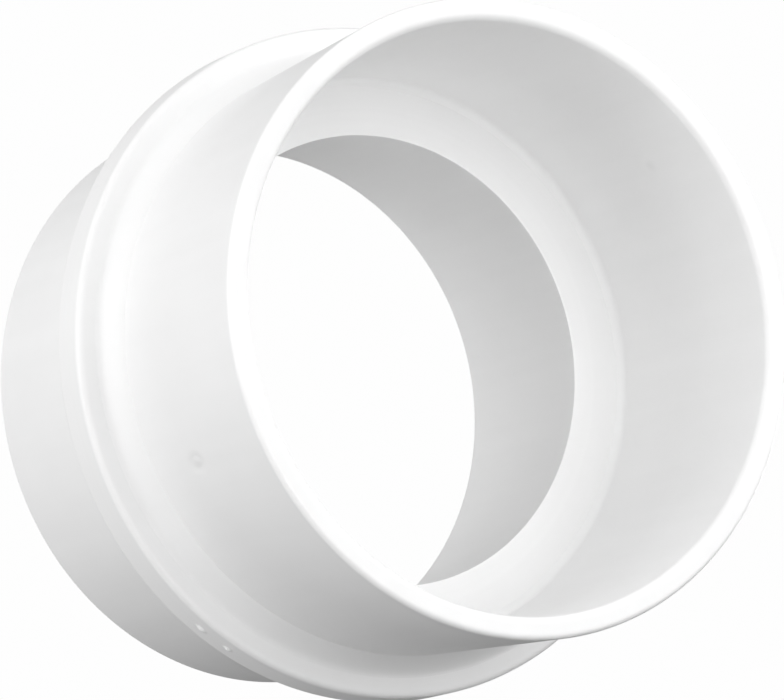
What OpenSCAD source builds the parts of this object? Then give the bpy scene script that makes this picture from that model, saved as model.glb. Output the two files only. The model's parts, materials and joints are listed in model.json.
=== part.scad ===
// Solvent-welded pipe reducer: two plain sleeves of different size on the two faces of one
// flat ring, with a fillet bead run round each corner. All pieces share one vertical axis.
// The origin is the centre of the small end's face, and the large socket opens upwards (+Z).

/* [Large socket] */
// Bore of the large socket, for a 110 mm pipe
large_bore_d = 110.4; // [109:0.1:111.6]
// Bore at the mouth, where the socket's entry taper starts
large_mouth_d = 112; // [111.7:0.1:113]
// Length of the entry taper
entry_taper_l = 20; // [8:1:32]
// Depth of the large socket, from its rim to the ledge
large_depth = 50; // [40:0.5:70]
// Outside diameter at the rim
large_rim_d = 120.8; // [120:0.2:124]
// Outside diameter at the foot of the sleeve
large_foot_d = 115; // [114.4:0.2:117]
// Bevel inside the foot of the sleeve, which the inner bead fills
foot_bevel = 0.8; // [0.3:0.1:1.2]
// Radius of the rounded lead-in inside the rim
lead_in_r = 1.3; // [0.5:0.1:1.6]
// Radius of the rim's outer edge
rim_edge_r = 1; // [0.4:0.1:1.6]

/* [Reducing plate] */
// Outside diameter of the plate, which stands proud as a collar
plate_d = 130.6; // [130:0.2:140]
// Thickness of the plate
plate_t = 8.4; // [6:0.2:12]
// Opening through the plate at the ledge
ledge_bore_d = 87.8; // [80:0.2:96]
// Straight land of that opening, before it widens to the small bore
ledge_land = 0.4; // [0.2:0.1:1]
// Radius of the collar's front edge
collar_front_r = 1.2; // [0.5:0.1:2]
// Radius of the collar's back edge
collar_back_r = 0.8; // [0.4:0.1:2]

/* [Small socket] */
// Bore of the small socket, for a 100 mm pipe
small_bore_d = 100.6; // [99:0.1:102]
// Outside diameter of the small sleeve
small_outer_d = 113; // [110:0.2:115]
// Length of the small sleeve, from the plate to its end
small_l = 42; // [30:0.5:60]
// Lead-in chamfer inside the small end
small_chamfer = 1.5; // [0.5:0.1:2]
// Radius of the small end's outer edge
small_edge_r = 1; // [0.4:0.1:1.6]

/* [Beads] */
// Leg of the outer bead along the large sleeve
outer_bead_l = 4.6; // [3:0.1:6]
// Leg of the outer bead across the plate
outer_bead_w = 4; // [3:0.1:4.4]
// How far the outer bead's full crown runs, at 45 degrees from its edge on the sleeve
outer_bead_crown = 2; // [1:0.1:2.4]
// How far the outer bead's toe runs out flat on the plate
outer_bead_toe = 1.2; // [0.4:0.1:1.6]
// Leg of the inner bead, both ways
inner_bead_leg = 1.6; // [1:0.1:2.5]
// Leg of the rear bead, both ways
rear_bead_leg = 3; // [2:0.1:4]

/* [Hidden] */
$fn = 240;

// Heights of the plate's two faces and of the rim
plate_bottom_z = small_l;
ledge_z = small_l + plate_t;
rim_z = ledge_z + large_depth;

// Radii that more than one piece shares
large_bore_r = large_bore_d / 2;
large_foot_r = large_foot_d / 2;
large_rim_r = large_rim_d / 2;
large_mouth_r = large_mouth_d / 2;
small_bore_r = small_bore_d / 2;
small_outer_r = small_outer_d / 2;
plate_r = plate_d / 2;
ledge_bore_r = ledge_bore_d / 2;

// Steps in each rounded edge and in each bead's face
edge_steps = 6;
bead_steps = 10;

// How closely the face of the inner bead follows its corner, and how low its lip is, as
// shares of its leg
inner_bead_tuck = 0.8;
inner_bead_lip = 0.15;
// How closely the face of the rear bead follows its corner
rear_bead_tuck = 0.5;

pvc_white = [0.94, 0.94, 0.93];
bead_white = [0.9, 0.9, 0.89];

// Points of an arc about a centre [x, y], from angle a0 to angle a1
function arc(centre, r, a0, a1, steps) = [
    for (i = [0 : steps])
        let (a = a0 + (a1 - a0) * i / steps)
        [centre[0] + r * cos(a), centre[1] + r * sin(a)]
];

// Points of a bead's face from p to q. It leaves p along u and comes into q along v.
function face(p, u, v, q, steps) = [
    for (i = [0 : steps])
        let (t = i / steps, s = 1 - t)
        s * s * s * p + 3 * s * s * t * (p + u) + 3 * s * t * t * (q - v) + t * t * t * q
];

// Outside radius of the large sleeve at a height above the ledge, below the rim's rounded edge
function large_outer_r(h) =
    large_foot_r + (large_rim_r - large_foot_r) * h / (large_depth - rim_edge_r);

module large_sleeve() {
    color(pvc_white)
    rotate_extrude()
    polygon(concat(
        [[large_bore_r + foot_bevel, ledge_z], [large_foot_r, ledge_z]],
        arc([large_rim_r - rim_edge_r, rim_z - rim_edge_r], rim_edge_r, 0, 90, edge_steps),
        arc([large_mouth_r + lead_in_r, rim_z - lead_in_r], lead_in_r, 90, 180, edge_steps),
        [
            [large_bore_r, rim_z - lead_in_r - entry_taper_l],
            [large_bore_r, ledge_z + inner_bead_leg]
        ]
    ));
}

module reducing_plate() {
    color(pvc_white)
    rotate_extrude()
    polygon(concat(
        [[small_bore_r, plate_bottom_z]],
        arc([plate_r - collar_back_r, plate_bottom_z + collar_back_r], collar_back_r, -90, 0, edge_steps),
        arc([plate_r - collar_front_r, ledge_z - collar_front_r], collar_front_r, 0, 90, edge_steps),
        [[ledge_bore_r, ledge_z], [ledge_bore_r, ledge_z - ledge_land]]
    ));
}

module small_sleeve() {
    color(pvc_white)
    rotate_extrude()
    polygon(concat(
        [[small_bore_r, small_chamfer], [small_bore_r + small_chamfer, 0]],
        arc([small_outer_r - small_edge_r, small_edge_r], small_edge_r, -90, 0, edge_steps),
        [[small_outer_r, plate_bottom_z], [small_bore_r, plate_bottom_z]]
    ));
}

// Fills the corner between the plate's front and the tapered outside of the large sleeve.
// Its face has a full crown by the sleeve and runs out flat on the plate.
module outer_bead() {
    top = [large_outer_r(outer_bead_l), ledge_z + outer_bead_l];
    toe = [large_foot_r + outer_bead_w, ledge_z];
    crown = outer_bead_crown * [sin(45), -cos(45)];
    color(bead_white)
    rotate_extrude()
    polygon(concat(
        [[large_foot_r, ledge_z]],
        face(toe, [-outer_bead_toe, 0], -crown, top, bead_steps)
    ));
}

// Fills the corner between the ledge and the bore of the large socket, and the sleeve's bevelled
// foot. Its face keeps close to the corner and ends in a low lip on the ledge.
module inner_bead() {
    top = [large_bore_r, ledge_z + inner_bead_leg];
    toe = [large_bore_r - inner_bead_leg, ledge_z];
    color(bead_white)
    rotate_extrude()
    polygon(concat(
        [[large_bore_r + foot_bevel, ledge_z]],
        face(
            top, [0, -inner_bead_tuck * inner_bead_leg],
            -inner_bead_leg * inner_bead_lip * [1, 1], toe, bead_steps
        )
    ));
}

// Fills the corner between the plate's back and the outside of the small sleeve, with a
// hollow face
module rear_bead() {
    top = [small_outer_r + rear_bead_leg, plate_bottom_z];
    toe = [small_outer_r, plate_bottom_z - rear_bead_leg];
    reach = rear_bead_tuck * rear_bead_leg;
    color(bead_white)
    rotate_extrude()
    polygon(concat(
        [[small_outer_r, plate_bottom_z]],
        face(toe, [0, reach], [reach, 0], top, bead_steps)
    ));
}

large_sleeve();
reducing_plate();
small_sleeve();
outer_bead();
inner_bead();
rear_bead();
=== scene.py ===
"""A white PVC pipe reducer, standing on its small end, in soft studio light."""
import json
import math
from collections import namedtuple

import bmesh
import bpy
from mathutils import Matrix, Vector


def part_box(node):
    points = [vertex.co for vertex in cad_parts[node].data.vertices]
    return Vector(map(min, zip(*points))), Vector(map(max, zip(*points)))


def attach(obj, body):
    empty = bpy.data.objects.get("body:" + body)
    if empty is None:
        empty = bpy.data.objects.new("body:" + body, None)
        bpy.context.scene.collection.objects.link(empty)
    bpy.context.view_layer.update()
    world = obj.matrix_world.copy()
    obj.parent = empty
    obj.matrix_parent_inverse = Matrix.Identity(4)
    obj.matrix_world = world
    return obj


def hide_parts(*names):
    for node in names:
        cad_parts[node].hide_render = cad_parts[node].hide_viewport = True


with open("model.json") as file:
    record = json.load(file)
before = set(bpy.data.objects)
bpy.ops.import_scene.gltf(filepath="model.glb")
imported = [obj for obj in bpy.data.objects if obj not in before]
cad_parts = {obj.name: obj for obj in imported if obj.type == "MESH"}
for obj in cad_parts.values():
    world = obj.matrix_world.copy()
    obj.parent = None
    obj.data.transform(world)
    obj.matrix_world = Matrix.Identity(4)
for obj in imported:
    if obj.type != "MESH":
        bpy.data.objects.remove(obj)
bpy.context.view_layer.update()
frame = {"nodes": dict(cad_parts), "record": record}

# ---------------------------------------------------------------- sizes, in metres
MM = 0.001
BODY = "root"
MOUNTS = {m["name"]: m for m in frame["record"]["mounts"]}


def bore_radius(mount):
    return MOUNTS[mount]["dims"]["r_mm"] * MM


def span(node):
    """Lowest height, highest height and outer radius of a CAD node."""
    low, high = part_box(node)
    return low.z, high.z, high.x


def inner_radius(node):
    """The smallest distance of a CAD node's vertices from the axis."""
    return min(math.hypot(v.co.x, v.co.y) for v in frame["nodes"][node].data.vertices)


LEDGE_Z, RIM_Z, RIM_R = span("large_sleeve")
PLATE_Z, _, PLATE_R = span("reducing_plate")
SMALL_END_Z, _, SMALL_R = span("small_sleeve")
_, OUTER_BEAD_TOP, OUTER_BEAD_R = span("outer_bead")
_, INNER_BEAD_TOP, _ = span("inner_bead")
REAR_BEAD_Z, _, REAR_BEAD_R = span("rear_bead")
LARGE_BORE_R = bore_radius("large_socket")
SMALL_BORE_R = bore_radius("small_socket")
LEDGE_BORE_R = inner_radius("reducing_plate")

# The large sleeve: its foot, its tapered mouth and its rim
FOOT_R = 57.5 * MM
FOOT_BEVEL = 0.8 * MM
MOUTH_R = 56 * MM
TAPER_LENGTH = 20 * MM
LEAD_IN_R = 1.3 * MM
RIM_EDGE_R = 1 * MM
# The plate: the rounded edges of its collar, and the land of its opening
COLLAR_FRONT_R = 1.2 * MM
COLLAR_BACK_R = 0.8 * MM
LEDGE_LAND = 0.4 * MM
# The small end
SMALL_CHAMFER = 1.5 * MM
SMALL_EDGE_R = 1 * MM
# The beads: how far the outer one's crown and toe run, and how closely the others follow
# their corners, as shares of their legs
CROWN = 2 * MM
TOE = 1.2 * MM
INNER_TUCK = 0.8
INNER_LIP = 0.15
REAR_TUCK = 0.5
# An edge that looks sharp still has a small radius
BROKEN_EDGE_R = 0.25 * MM

# ---------------------------------------------------------------- mesh density
SEGMENTS = 288
ARC_STEPS = 6
BEAD_STEPS = 12
ROW_STEP = 3 * MM
SUPPORT = 0.35 * MM
FINE_STEP = 0.2 * MM
# How far to each side of its middle a mark's finer mesh runs, in widths of the mark
FINE_REACH = 0.6
SHARP_TURN = math.radians(24)
FULL_TURN = 2 * math.pi

# A small mark in a surface: its place, its width round the axis and height along it, how
# far it stands proud (or is sunk, where negative) and how much duller it is, from 0 to 1
Mark = namedtuple("Mark", "azimuth height radius width tall proud dull")

# The gate vestiges of the large sleeve, one outside and a fainter one in the bore
GATE_MARKS = [
    Mark(277.2, 72.8 * MM, 59 * MM, 5.4 * MM, 8.4 * MM, -0.25 * MM, 1),
    Mark(277.2, 72.8 * MM, 59 * MM, 2.8 * MM, 4.4 * MM, 0.2 * MM, 0),
    Mark(110.5, 82.4 * MM, 55.4 * MM, 3.4 * MM, 3.6 * MM, -0.1 * MM, 0.6),
]
# How far a surface may be from a mark's radius and still carry it
MARK_DEPTH = 2 * MM
# Two scuffs on the collar, raised as thin burrs
SCUFF_MARKS = [
    Mark(305.2, 46.1 * MM, PLATE_R, 3.2 * MM, 1.6 * MM, 0.5 * MM, 0),
    Mark(311, 46.1 * MM, PLATE_R, 2.4 * MM, 1.4 * MM, 0.4 * MM, 0),
]


# ---------------------------------------------------------------- outlines, as (r, z)
def arc_points(before, corner, after, radius):
    """The arc that rounds a corner between its two neighbours."""
    u = (before - corner).normalized()
    v = (after - corner).normalized()
    half = u.angle(v) / 2
    reach = radius / math.tan(half)
    centre = corner + (u + v).normalized() * radius / math.sin(half)
    start = corner + u * reach - centre
    end = corner + v * reach - centre
    turn = math.atan2(start.x * end.y - start.y * end.x, start.dot(end))
    spokes = [Matrix.Rotation(turn * k / ARC_STEPS, 2) @ start for k in range(ARC_STEPS + 1)]
    return [centre + spoke for spoke in spokes]


def rounded(*corners):
    """A closed outline from corners (r, z, radius), each rounded by its radius."""
    outline = []
    for i, (r, z, radius) in enumerate(corners):
        corner = Vector((r, z))
        if radius == 0:
            outline.append(corner)
            continue
        before = Vector(corners[i - 1][:2])
        after = Vector(corners[(i + 1) % len(corners)][:2])
        outline.extend(arc_points(before, corner, after, radius))
    return outline


def face(p, u, v, q):
    """Points of a bead's face from p to q. It leaves p along u and comes into q along v."""
    points = [Vector(p), Vector(p) + Vector(u), Vector(q) - Vector(v), Vector(q)]
    rows = []
    for k in range(BEAD_STEPS + 1):
        t = k / BEAD_STEPS
        weights = [(1 - t) ** 3, 3 * (1 - t) ** 2 * t, 3 * (1 - t) * t * t, t ** 3]
        rows.append(sum((w * point for w, point in zip(weights, points)), Vector((0, 0))))
    return rows


def stations(low, high, step):
    """Even values from low up to high, but without high, at most a step apart."""
    count = max(1, math.ceil((high - low) / step))
    return [low + (high - low) * k / count for k in range(count)]


def spread(low, high, stops, step, fine_spans, fine_step):
    """Values from low up to high, closer together within the fine spans."""
    values = []
    bounds = sorted({low, high, *(s for s in stops if low < s < high)})
    for start, end in zip(bounds, bounds[1:]):
        middle = (start + end) / 2
        fine = any(a < middle < b for a, b in fine_spans)
        values += stations(start, end, fine_step if fine else step)
    return values


def with_rows(outline, marks):
    """The outline with points added along its straight stretches: one near each end, so
    that smooth shading stays flat between them, and closer ones past the marks."""
    rows = []
    for p, q in zip(outline, outline[1:] + outline[:1]):
        rows.append(p)
        length = (q - p).length
        if length < 3 * SUPPORT:
            continue
        fine = []
        if abs(q.y - p.y) > length / 2:
            for mark in marks:
                reach = FINE_REACH * mark.tall
                heights = (mark.height - reach, mark.height + reach)
                fine.append(tuple(sorted((z - p.y) * length / (q.y - p.y) for z in heights)))
        stops = [s for pair in fine for s in pair]
        places = spread(SUPPORT, length - SUPPORT, stops, ROW_STEP, fine, FINE_STEP)
        rows += [p.lerp(q, s / length) for s in places + [length - SUPPORT]]
    return rows


def angles_round(marks):
    """Angles round the axis, closer together past the marks."""
    fine = []
    for mark in marks:
        middle = math.radians(mark.azimuth)
        reach = FINE_REACH * mark.width / mark.radius
        fine.append((middle - reach, middle + reach))
    stops = [a for pair in fine for a in pair]
    return spread(0, FULL_TURN, stops, FULL_TURN / SEGMENTS, fine, FINE_STEP / PLATE_R)


# ---------------------------------------------------------------- turning an outline
def mark_share(mark, r, z, angle):
    """From 0 outside a mark to 1 at its middle."""
    if abs(r - mark.radius) > MARK_DEPTH:
        return 0
    turn = (angle - math.radians(mark.azimuth) + math.pi) % FULL_TURN - math.pi
    away = math.hypot(turn * r / (mark.width / 2), (z - mark.height) / (mark.tall / 2))
    return 0 if away >= 1 else (1 - away * away) ** 2


def turn_at(rows, j):
    """How far an outline turns at its point j."""
    before = rows[j] - rows[j - 1]
    after = rows[(j + 1) % len(rows)] - rows[j]
    return before.angle(after)


def ring_at(bm, spot, rows, angle, marks):
    """The outline's vertices at one angle, moved and noted where they lie in a mark."""
    ring = []
    for row in rows:
        shares = [mark_share(m, row.x, row.y, angle) for m in marks]
        r = row.x + sum(m.proud * share for m, share in zip(marks, shares))
        vertex = bm.verts.new((r * math.cos(angle), r * math.sin(angle), row.y))
        vertex[spot] = max((m.dull * share for m, share in zip(marks, shares)), default=0)
        ring.append(vertex)
    return ring


def skin(bm, rings, rows):
    """Smooth faces between the rings, with sharp edges where the outline turns sharply."""
    for ring, next_ring in zip(rings, rings[1:] + rings[:1]):
        for j in range(len(rows)):
            k = (j + 1) % len(rows)
            quad = bm.faces.new((ring[j], next_ring[j], next_ring[k], ring[k]))
            quad.smooth = True
    for j in range(len(rows)):
        if turn_at(rows, j) > SHARP_TURN:
            for ring, next_ring in zip(rings, rings[1:] + rings[:1]):
                bm.edges.get((ring[j], next_ring[j])).smooth = False
    bmesh.ops.recalc_face_normals(bm, faces=bm.faces)


def lathe(name, node, rows, marks=()):
    """A piece made by turning a closed outline round the axis. It stands for a CAD node."""
    bm = bmesh.new()
    spot = bm.verts.layers.float.new("mark")
    rings = [ring_at(bm, spot, rows, angle, marks) for angle in angles_round(marks)]
    skin(bm, rings, rows)
    mesh = bpy.data.meshes.new(name)
    bm.to_mesh(mesh)
    bm.free()
    piece = bpy.data.objects.new(name, mesh)
    bpy.context.scene.collection.objects.link(piece)
    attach(piece, BODY)
    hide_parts(node)
    return piece


def finish_with(piece, material):
    piece.data.materials.append(material)


# ---------------------------------------------------------------- the pieces
def outer_radius_at(z):
    """Outside radius of the large sleeve's taper."""
    return FOOT_R + (RIM_R - FOOT_R) * (z - LEDGE_Z) / (RIM_Z - LEDGE_Z)


def large_sleeve():
    taper_top = RIM_Z - LEAD_IN_R
    outline = rounded(
        (LARGE_BORE_R + FOOT_BEVEL, LEDGE_Z, 0),
        (FOOT_R, LEDGE_Z, 0),
        (RIM_R, RIM_Z, RIM_EDGE_R),
        (MOUTH_R, RIM_Z, LEAD_IN_R),
        (LARGE_BORE_R, taper_top - TAPER_LENGTH, 0),
        (LARGE_BORE_R, INNER_BEAD_TOP, 0),
    )
    return lathe("large_sleeve_pipe", "large_sleeve", with_rows(outline, GATE_MARKS), GATE_MARKS)


def reducing_plate():
    outline = rounded(
        (SMALL_BORE_R, PLATE_Z, 0),
        (PLATE_R, PLATE_Z, COLLAR_BACK_R),
        (PLATE_R, LEDGE_Z, COLLAR_FRONT_R),
        (LEDGE_BORE_R, LEDGE_Z, BROKEN_EDGE_R / 2),
        (LEDGE_BORE_R, LEDGE_Z - LEDGE_LAND, BROKEN_EDGE_R / 2),
    )
    return lathe("reducing_plate_ring", "reducing_plate", with_rows(outline, SCUFF_MARKS), SCUFF_MARKS)


def small_sleeve():
    outline = rounded(
        (SMALL_BORE_R, SMALL_END_Z + SMALL_CHAMFER, BROKEN_EDGE_R),
        (SMALL_BORE_R + SMALL_CHAMFER, SMALL_END_Z, BROKEN_EDGE_R),
        (SMALL_R, SMALL_END_Z, SMALL_EDGE_R),
        (SMALL_R, PLATE_Z, 0),
        (SMALL_BORE_R, PLATE_Z, 0),
    )
    return lathe("small_sleeve_pipe", "small_sleeve", with_rows(outline, ()))


def bead(name, node, corner, face_points):
    """A bead that fills a corner, with its face towards the open side."""
    return lathe(name, node, [Vector(corner)] + face_points)


def outer_bead():
    top = (outer_radius_at(OUTER_BEAD_TOP), OUTER_BEAD_TOP)
    crown = (-CROWN * math.sin(math.pi / 4), CROWN * math.cos(math.pi / 4))
    points = face((OUTER_BEAD_R, LEDGE_Z), (-TOE, 0), crown, top)
    return bead("outer_bead_fillet", "outer_bead", (FOOT_R, LEDGE_Z), points)


def inner_bead():
    leg = INNER_BEAD_TOP - LEDGE_Z
    lip = (-leg * INNER_LIP, -leg * INNER_LIP)
    toe = (LARGE_BORE_R - leg, LEDGE_Z)
    points = face((LARGE_BORE_R, INNER_BEAD_TOP), (0, -INNER_TUCK * leg), lip, toe)
    corner = (LARGE_BORE_R + FOOT_BEVEL, LEDGE_Z)
    return bead("inner_bead_fillet", "inner_bead", corner, points)


def rear_bead():
    reach = REAR_TUCK * (REAR_BEAD_R - SMALL_R)
    points = face((SMALL_R, REAR_BEAD_Z), (0, reach), (reach, 0), (REAR_BEAD_R, PLATE_Z))
    return bead("rear_bead_fillet", "rear_bead", (SMALL_R, PLATE_Z), points)


# ---------------------------------------------------------------- materials
Grain = namedtuple("Grain", "around along")
# How a surface's faint lines run: moulding flow along a sleeve, turning marks round the plate
FLOW_GRAIN = Grain(around=260, along=14)
TURNED_GRAIN = Grain(around=3, along=900)
EVEN_GRAIN = Grain(around=120, along=120)
# Scales of the clouds in the colour and of the orange peel, per metre
CLOUD_SCALE = 45
PEEL_SCALE = 900
# The span of a noise's values that is used
NOISE_LOW = 0.3
NOISE_HIGH = 0.7
# The clouds' share in the colour, with the lines for the rest
CLOUD_SHARE = 0.6
# The darker colour of the clouds, as a share of the lighter one
CLOUD_SHADE = 0.965
# How much darker and how much rougher the middle of a dull mark is
STAIN = 0.08
MARK_ROUGHNESS = 0.2
# How far the roughness falls and rises about its middle value
ROUGH_FALL = 0.04
ROUGH_RISE = 0.06
# The surface relief, as (strength, distance)
PEEL_RELIEF = (0.12, 0.05 * MM)
LINE_RELIEF = (0.15, 0.08 * MM)
PVC_IOR = 1.53


class Nodes:
    """Short calls for making and joining the nodes of a material or a world."""

    def __init__(self, owner):
        owner.use_nodes = True
        self.owner = owner
        self.tree = owner.node_tree
        self.tree.nodes.clear()

    def add(self, kind, **settings):
        node = self.tree.nodes.new("ShaderNode" + kind)
        for key, value in settings.items():
            setattr(node, key, value)
        return node

    def join(self, source, target):
        self.tree.links.new(source, target)

    def math(self, operation, a, b):
        node = self.add("Math", operation=operation)
        for socket, value in zip(node.inputs, (a, b)):
            if isinstance(value, bpy.types.NodeSocket):
                self.join(value, socket)
            else:
                socket.default_value = value
        return node.outputs[0]

    def noise(self, vector, scale, detail=3, roughness=0.5):
        node = self.add("TexNoise")
        node.inputs["Scale"].default_value = scale
        node.inputs["Detail"].default_value = detail
        node.inputs["Roughness"].default_value = roughness
        self.join(vector, node.inputs["Vector"])
        return node.outputs["Fac"]

    def remap(self, value, low, high, to_low, to_high):
        node = self.add("MapRange")
        for key, number in zip(
            ("From Min", "From Max", "To Min", "To Max"), (low, high, to_low, to_high)
        ):
            node.inputs[key].default_value = number
        self.join(value, node.inputs["Value"])
        return node.outputs["Result"]


def grain_vector(n, place, grain):
    """Object coordinates stretched so that noise runs in lines along or round the axis."""
    split = n.add("SeparateXYZ")
    n.join(place, split.inputs[0])
    x, y, z = split.outputs
    flat = n.add("CombineXYZ")
    n.join(x, flat.inputs[0])
    n.join(y, flat.inputs[1])
    length = n.add("VectorMath", operation="LENGTH")
    n.join(flat.outputs[0], length.inputs[0])
    unit = n.add("VectorMath", operation="NORMALIZE")
    n.join(flat.outputs[0], unit.inputs[0])
    turned = n.add("VectorMath", operation="SCALE")
    n.join(unit.outputs[0], turned.inputs[0])
    turned.inputs["Scale"].default_value = grain.around * SMALL_BORE_R
    height = n.math("MULTIPLY", n.math("ADD", z, length.outputs["Value"]), grain.along)
    up = n.add("CombineXYZ")
    n.join(height, up.inputs[2])
    total = n.add("VectorMath", operation="ADD")
    n.join(turned.outputs[0], total.inputs[0])
    n.join(up.outputs[0], total.inputs[1])
    return total.outputs[0]


def mixed(n, share, first, second):
    """A colour between two others, each a socket or a value."""
    mix = n.add("Mix", data_type="RGBA")
    n.join(share, mix.inputs[0])
    for socket, colour in zip(mix.inputs[6:8], (first, second)):
        if isinstance(colour, bpy.types.NodeSocket):
            n.join(colour, socket)
        else:
            socket.default_value = colour
    return mix.outputs[2]


def relief(n, height, strength, distance, normal=None):
    bump = n.add("Bump")
    bump.inputs["Strength"].default_value = strength
    bump.inputs["Distance"].default_value = distance
    n.join(height, bump.inputs["Height"])
    if normal:
        n.join(normal, bump.inputs["Normal"])
    return bump.outputs[0]


def pvc(name, colour, grain, roughness):
    """Semi-gloss white PVC: clouded colour, faint grain lines, fine orange peel and
    patches of duller skin."""
    n = Nodes(bpy.data.materials.new(name))
    place = n.add("TexCoord").outputs["Object"]
    lines = n.noise(grain_vector(n, place, grain), 1, detail=2)
    clouds = n.noise(place, CLOUD_SCALE, detail=3)
    peel = n.noise(place, PEEL_SCALE, detail=2)
    spot = n.add("Attribute", attribute_name="mark").outputs["Fac"]

    cloudy = n.math("MULTIPLY", clouds, CLOUD_SHARE)
    tone = n.math("ADD", cloudy, n.math("MULTIPLY", lines, 1 - CLOUD_SHARE))
    darker = [c * CLOUD_SHADE for c in colour] + [1]
    shade = mixed(n, n.remap(tone, NOISE_LOW, NOISE_HIGH, 0, 1), darker, [*colour, 1])
    stained = mixed(n, n.math("MULTIPLY", spot, STAIN), shade, [0, 0, 0, 1])

    dull = n.math("ADD", n.math("MULTIPLY", lines, 0.5), n.math("MULTIPLY", clouds, 0.5))
    rough = n.remap(dull, NOISE_LOW, NOISE_HIGH, roughness - ROUGH_FALL, roughness + ROUGH_RISE)
    rough = n.math("ADD", rough, n.math("MULTIPLY", spot, MARK_ROUGHNESS))

    fine = relief(n, peel, *PEEL_RELIEF)
    shader = n.add("BsdfPrincipled")
    shader.inputs["IOR"].default_value = PVC_IOR
    n.join(stained, shader.inputs["Base Color"])
    n.join(rough, shader.inputs["Roughness"])
    n.join(relief(n, lines, *LINE_RELIEF, normal=fine), shader.inputs["Normal"])
    n.join(shader.outputs[0], n.add("OutputMaterial").inputs["Surface"])
    return n.owner


# ---------------------------------------------------------------- floor, light, camera
PAPER_WHITE = 0.99
FLOOR_SIZE = 12
# The floor lies this far under the object, so that the two faces don't coincide
FLOOR_GAP = 0.05 * MM
# The sky's soft lobes, as (azimuth, elevation, strength) in degrees
SKY_LOBES = [(164.5, -45, 0.42), (254.5, 0, 0.7)]
# Round softboxes, as (azimuth, elevation, watts): one overhead, four raised 30 degrees, one
# level with the object and one that shines up through the paper
SOFTBOXES = [
    (0, 90, 7.2),
    (90, 30, 5),
    (135, 30, 4.4),
    (0, 30, 1.4),
    (225, 30, 2.3),
    (247.5, 0, 5.3),
    (90, -35, 13),
]
SOFTBOX_DISTANCE = 1.2
SOFTBOX_SIZE = 0.9


def direction(azimuth, elevation):
    """The unit vector that points that way, from angles in degrees."""
    a, e = math.radians(azimuth), math.radians(elevation)
    return Vector((math.cos(a) * math.cos(e), math.sin(a) * math.cos(e), math.sin(e)))


def glow(name, strength):
    n = Nodes(bpy.data.materials.new(name))
    light = n.add("Emission")
    light.inputs["Strength"].default_value = strength
    n.join(light.outputs[0], n.add("OutputMaterial").inputs["Surface"])
    return n.owner


def floor():
    """A pale sweep of paper so evenly lit that it takes no shadow."""
    half = FLOOR_SIZE / 2
    corners = [(-half, -half), (half, -half), (half, half), (-half, half)]
    mesh = bpy.data.meshes.new("floor")
    mesh.from_pydata([(x, y, SMALL_END_Z - FLOOR_GAP) for x, y in corners], [], [(0, 1, 2, 3)])
    paper = bpy.data.objects.new("floor", mesh)
    bpy.context.scene.collection.objects.link(paper)
    mesh.materials.append(glow("paper", PAPER_WHITE))
    paper.visible_diffuse = False
    paper.visible_glossy = False
    paper.visible_shadow = False


def sky_lobe(n, place, azimuth, elevation, strength):
    """Light that fades smoothly from one direction to none at its opposite."""
    facing = n.add("VectorMath", operation="DOT_PRODUCT")
    facing.inputs[1].default_value = direction(azimuth, elevation)
    n.join(place, facing.inputs[0])
    share = n.remap(facing.outputs["Value"], -1, 1, 0, 1)
    return n.math("MULTIPLY", n.math("MULTIPLY", share, share), strength)


def sky():
    """Soft studio surroundings, which the camera sees as plain white."""
    world = bpy.data.worlds.new("studio")
    bpy.context.scene.world = world
    n = Nodes(world)
    place = n.add("TexCoord").outputs["Generated"]
    first, second = (sky_lobe(n, place, *lobe) for lobe in SKY_LOBES)
    glowing = n.add("Background")
    n.join(n.math("ADD", first, second), glowing.inputs["Strength"])
    plain = n.add("Background")
    plain.inputs["Strength"].default_value = PAPER_WHITE
    choose = n.add("MixShader")
    n.join(n.add("LightPath").outputs["Is Camera Ray"], choose.inputs[0])
    n.join(glowing.outputs[0], choose.inputs[1])
    n.join(plain.outputs[0], choose.inputs[2])
    n.join(choose.outputs[0], n.add("OutputWorld").inputs["Surface"])


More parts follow.
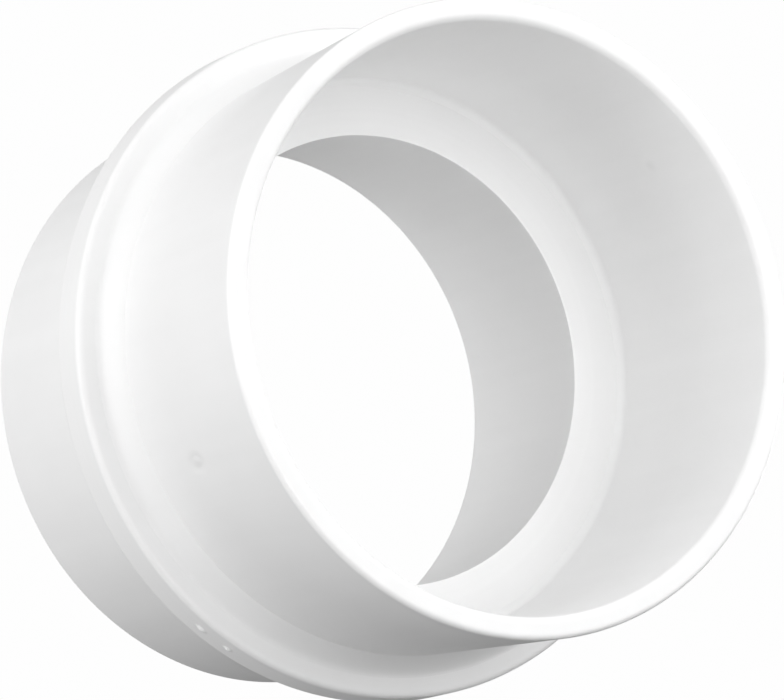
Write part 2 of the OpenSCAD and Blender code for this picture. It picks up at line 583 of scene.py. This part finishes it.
def softbox(azimuth, elevation, watts):
    """A round softbox that faces the middle of the object."""
    data = bpy.data.lights.new("softbox", "AREA")
    data.shape = "DISK"
    data.size = SOFTBOX_SIZE
    data.energy = watts
    lamp = bpy.data.objects.new("softbox", data)
    bpy.context.scene.collection.objects.link(lamp)
    away = direction(azimuth, elevation)
    lamp.matrix_world = (
        Matrix.Translation(Vector((0, 0, LEDGE_Z)) + away * SOFTBOX_DISTANCE)
        @ (-away).to_track_quat("-Z", "Y").to_matrix().to_4x4()
    )


CAMERA_LENS = 275.51
CAMERA_SENSOR = 36
CAMERA_ELEVATION = math.radians(58.185)
CAMERA_ROLL = math.radians(71.944)
CAMERA_DISTANCE = 1.14775
CAMERA_AIM = Vector((-1.07 * MM, 0, 55.53 * MM))


def camera():
    """Looks down along +Y, rolled so that the large end points up to the right."""
    sin_e, cos_e = math.sin(CAMERA_ELEVATION), math.cos(CAMERA_ELEVATION)
    forward = Vector((0, cos_e, -sin_e))
    level_right = Vector((1, 0, 0))
    level_up = Vector((0, sin_e, cos_e))
    right = level_right * math.cos(CAMERA_ROLL) + level_up * math.sin(CAMERA_ROLL)
    up = level_up * math.cos(CAMERA_ROLL) - level_right * math.sin(CAMERA_ROLL)
    data = bpy.data.cameras.new("camera")
    data.lens = CAMERA_LENS
    data.sensor_width = CAMERA_SENSOR
    viewer = bpy.data.objects.new("camera", data)
    bpy.context.scene.collection.objects.link(viewer)
    turn = Matrix((right, up, -forward)).transposed().to_4x4()
    viewer.matrix_world = Matrix.Translation(CAMERA_AIM - forward * CAMERA_DISTANCE) @ turn
    bpy.context.scene.camera = viewer


# ---------------------------------------------------------------- the scene
WHITE = (0.93, 0.93, 0.93)
SLEEVE_ROUGHNESS = 0.38
PLATE_ROUGHNESS = 0.46
BEAD_ROUGHNESS = 0.5

sleeve_pvc = pvc("pvc_sleeve", WHITE, FLOW_GRAIN, SLEEVE_ROUGHNESS)
plate_pvc = pvc("pvc_plate", WHITE, TURNED_GRAIN, PLATE_ROUGHNESS)
bead_pvc = pvc("pvc_bead", WHITE, EVEN_GRAIN, BEAD_ROUGHNESS)

for make in (large_sleeve, small_sleeve):
    finish_with(make(), sleeve_pvc)
finish_with(reducing_plate(), plate_pvc)
for make in (outer_bead, inner_bead, rear_bead):
    finish_with(make(), bead_pvc)

floor()
sky()
for box in SOFTBOXES:
    softbox(*box)
camera()
bpy.context.scene.view_settings.view_transform = "Standard"
